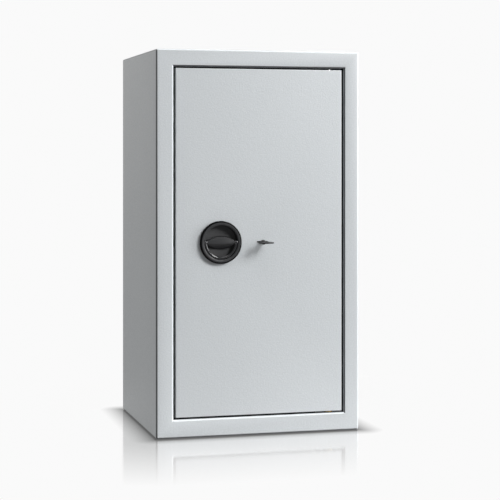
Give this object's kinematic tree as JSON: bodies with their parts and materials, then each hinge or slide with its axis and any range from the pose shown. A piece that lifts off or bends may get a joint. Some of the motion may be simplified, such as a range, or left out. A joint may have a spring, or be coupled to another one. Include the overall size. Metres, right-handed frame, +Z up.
{
  "type": "cabinet safe",
  "caption": "Small steel cabinet safe with a flush door on hidden pivots, a turning cup handle with folding bail, three-way boltwork and a double-bit key lock.",
  "frame": {"origin": "centre of the body's underside, midway between its front face and its back", "axes": "+X to the right as seen from the front (hinge side), +Y to the back that goes against the wall, +Z up"},
  "size_m": [0.35, 0.336, 0.64],
  "materials": {
    "powder_coat": "fine textured powder coat, light grey",
    "inner_paint": "smooth satin grey paint",
    "mineral_fill": "pressed mineral board",
    "seal_foam": "closed-cell foam strip",
    "handle_black": "satin moulded black",
    "zinc_steel": "bright zinc plate",
    "bright_steel": "turned and ground",
    "brass": "machined",
    "hardened_steel": "dark hardened plate",
    "guide_nylon": "moulded natural nylon",
    "key_nickel": "worn nickel plate"
  },
  "bodies": {
    "cabinet": {"body_shell": "powder_coat", "back_panel": "powder_coat", "inner_liner": "inner_paint", "wall_filling": "mineral_fill", "stop_frame": "inner_paint", "door_seal": "seal_foam", "hinge_plate_upper": "zinc_steel", "hinge_plate_lower": "zinc_steel", "hinge_pin_upper": "bright_steel", "hinge_pin_lower": "bright_steel", "thrust_washer": "brass", "shelf_upper": "inner_paint", "shelf_lower": "inner_paint", "shelf_brackets": "inner_paint"},
    "door": {"door_plate": "powder_coat", "door_case": "inner_paint", "door_cover": "inner_paint", "cover_screws": "bright_steel", "hinge_block_upper": "zinc_steel", "hinge_block_lower": "zinc_steel", "hinge_bush_upper": "brass", "hinge_bush_lower": "brass", "hinge_side_dogs": "zinc_steel", "bolt_bushes": "brass", "rod_guides": "guide_nylon", "carriage_studs": "bright_steel", "handle_rosette": "handle_black", "bearing_bridge": "zinc_steel", "spindle_bush": "brass", "hard_plate": "hardened_steel", "lock_case": "zinc_steel", "lock_cover": "zinc_steel", "lock_screws": "bright_steel", "lever_pack": "brass", "lever_post": "bright_steel", "lever_springs": "bright_steel"},
    "handle": {"handle_disc": "handle_black", "bail_pins": "bright_steel", "spindle": "bright_steel", "pinion": "zinc_steel", "spindle_circlip": "bright_steel"},
    "bail": {"bail": "handle_black"},
    "boltwork": {"bolt_carriage": "zinc_steel", "locking_bolts": "bright_steel"},
    "top_rod": {"upper_rod": "zinc_steel"},
    "bottom_rod": {"lower_rod": "zinc_steel"},
    "deadbolt": {"lock_bolt": "brass"},
    "key": {"key": "key_nickel"}
  },
  "joints": [
    {"name": "door_swing", "type": "hinge", "parent": "cabinet", "child": "door", "pos_m": [0.1245, -0.138, 0.321], "axis": [0, 0, 1], "range_deg": [0, 105]},
    {"name": "handle_turn", "type": "hinge", "parent": "door", "child": "handle", "pos_m": [-0.0667, -0.15, 0.321], "axis": [0, 1, 0], "range_deg": [-90, 0]},
    {"name": "bail_fold", "type": "hinge", "parent": "handle", "child": "bail", "pos_m": [-0.0667, -0.154, 0.321], "axis": [-1, 0, 0], "range_deg": [0, 95]},
    {"name": "carriage_slide", "type": "slide", "parent": "door", "child": "boltwork", "axis": [-1, 0, 0], "range_m": [0, 0.02513]},
    {"name": "top_rod_slide", "type": "slide", "parent": "door", "child": "top_rod", "axis": [0, 0, 1], "range_m": [0, 0.02513]},
    {"name": "bottom_rod_slide", "type": "slide", "parent": "door", "child": "bottom_rod", "axis": [0, 0, -1], "range_m": [0, 0.02513]},
    {"name": "key_turn", "type": "hinge", "parent": "door", "child": "key", "pos_m": [0.006, -0.15, 0.3205], "axis": [0, 1, 0], "range_deg": [0, 180]},
    {"name": "deadbolt_slide", "type": "slide", "parent": "door", "child": "deadbolt", "axis": [0, 0, 1], "range_m": [0, 0.009]}
  ],
  "couplings": [
    {"joint": "handle_turn", "follows": "carriage_slide", "rad_per_m": -62.5},
    {"joint": "top_rod_slide", "follows": "carriage_slide", "ratio": 1},
    {"joint": "bottom_rod_slide", "follows": "carriage_slide", "ratio": 1},
    {"joint": "key_turn", "follows": "deadbolt_slide", "rad_per_m": 349.06}
  ]
}
